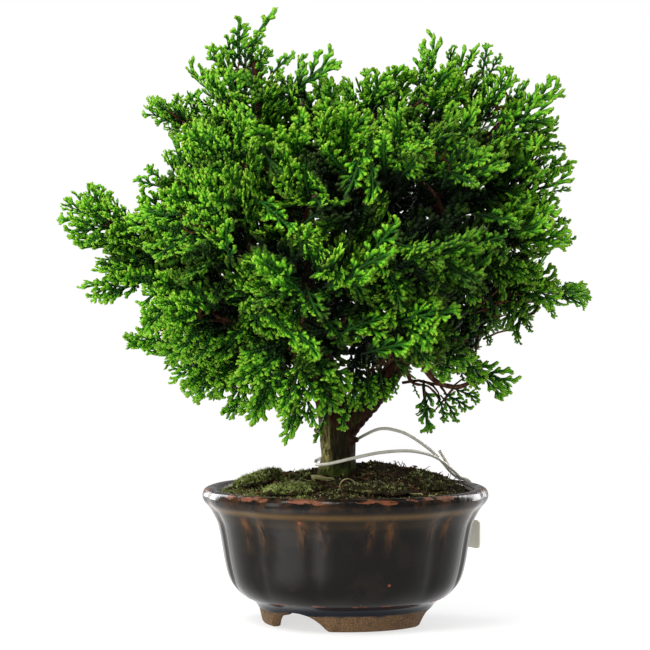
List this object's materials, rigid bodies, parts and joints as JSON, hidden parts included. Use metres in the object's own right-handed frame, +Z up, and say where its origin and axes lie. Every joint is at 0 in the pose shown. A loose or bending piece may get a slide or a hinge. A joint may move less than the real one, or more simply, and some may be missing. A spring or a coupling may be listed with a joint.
{
  "type": "potted bonsai tree",
  "caption": "Hinoki cypress bonsai: a forked crown of scale-leaf fans over a short trunk, growing in a round, lobed, glazed pot that stands on arched feet.",
  "frame": {"origin": "middle of the base of the bounding box of pot and tree, on the surface that the pot's feet stand on", "axes": "+Z up, along the trunk; front of the tree towards -Y; +X to the right seen from the front"},
  "size_m": [0.2794, 0.1838, 0.3235],
  "materials": {
    "glaze": "gloss",
    "soil": "matte",
    "moss": "matte",
    "trunk_bark": "matte",
    "branch_bark": "matte",
    "leaves": "satin",
    "mesh_plastic": "matte",
    "wire": "satin",
    "tie_plastic": "satin",
    "label_plastic": "satin"
  },
  "bodies": {
    "root": {"branch_back_left": "branch_bark", "branch_back_right": "branch_bark", "branch_crown": "branch_bark", "branch_front_high": "branch_bark", "branch_front_low": "branch_bark", "branch_left_low": "branch_bark", "branch_left_mid": "branch_bark", "branch_left_top": "branch_bark", "branch_right_low": "branch_bark", "branch_right_mid": "branch_bark", "branch_right_top": "branch_bark", "drain_mesh": "mesh_plastic", "foliage_back_left": "leaves", "foliage_back_low_left": "leaves", "foliage_back_low_right": "leaves", "foliage_back_middle": "leaves", "foliage_back_right": "leaves", "foliage_back_upper_left": "leaves", "foliage_back_upper_right": "leaves", "foliage_crown_inner": "leaves", "foliage_crown_left": "leaves", "foliage_crown_middle": "leaves", "foliage_crown_right": "leaves", "foliage_front_cleft": "leaves", "foliage_front_left": "leaves", "foliage_front_left_low": "leaves", "foliage_front_middle": "leaves", "foliage_front_right": "leaves", "foliage_front_right_low": "leaves", "foliage_front_upper": "leaves", "foliage_front_upper_left": "leaves", "foliage_front_upper_right": "leaves", "foliage_left_horn": "leaves", "foliage_left_middle": "leaves", "foliage_left_shoulder": "leaves", "foliage_left_skirt": "leaves", "foliage_left_tip": "leaves", "foliage_left_upper": "leaves", "foliage_lower_front": "leaves", "foliage_lower_left": "leaves", "foliage_right_hanging": "leaves", "foliage_right_middle": "leaves", "foliage_right_shoulder": "leaves", "foliage_right_skirt": "leaves", "foliage_right_tip": "leaves", "foliage_right_upper": "leaves", "foliage_top_leader": "leaves", "label": "label_plastic", "label_tie": "tie_plastic", "mesh_wire": "wire", "moss_back": "moss", "moss_front_left": "moss", "moss_front_right": "moss", "moss_left": "moss", "moss_right": "moss", "pot": "glaze", "root_ball": "soil", "trunk": "trunk_bark"}
  },
  "joints": []
}
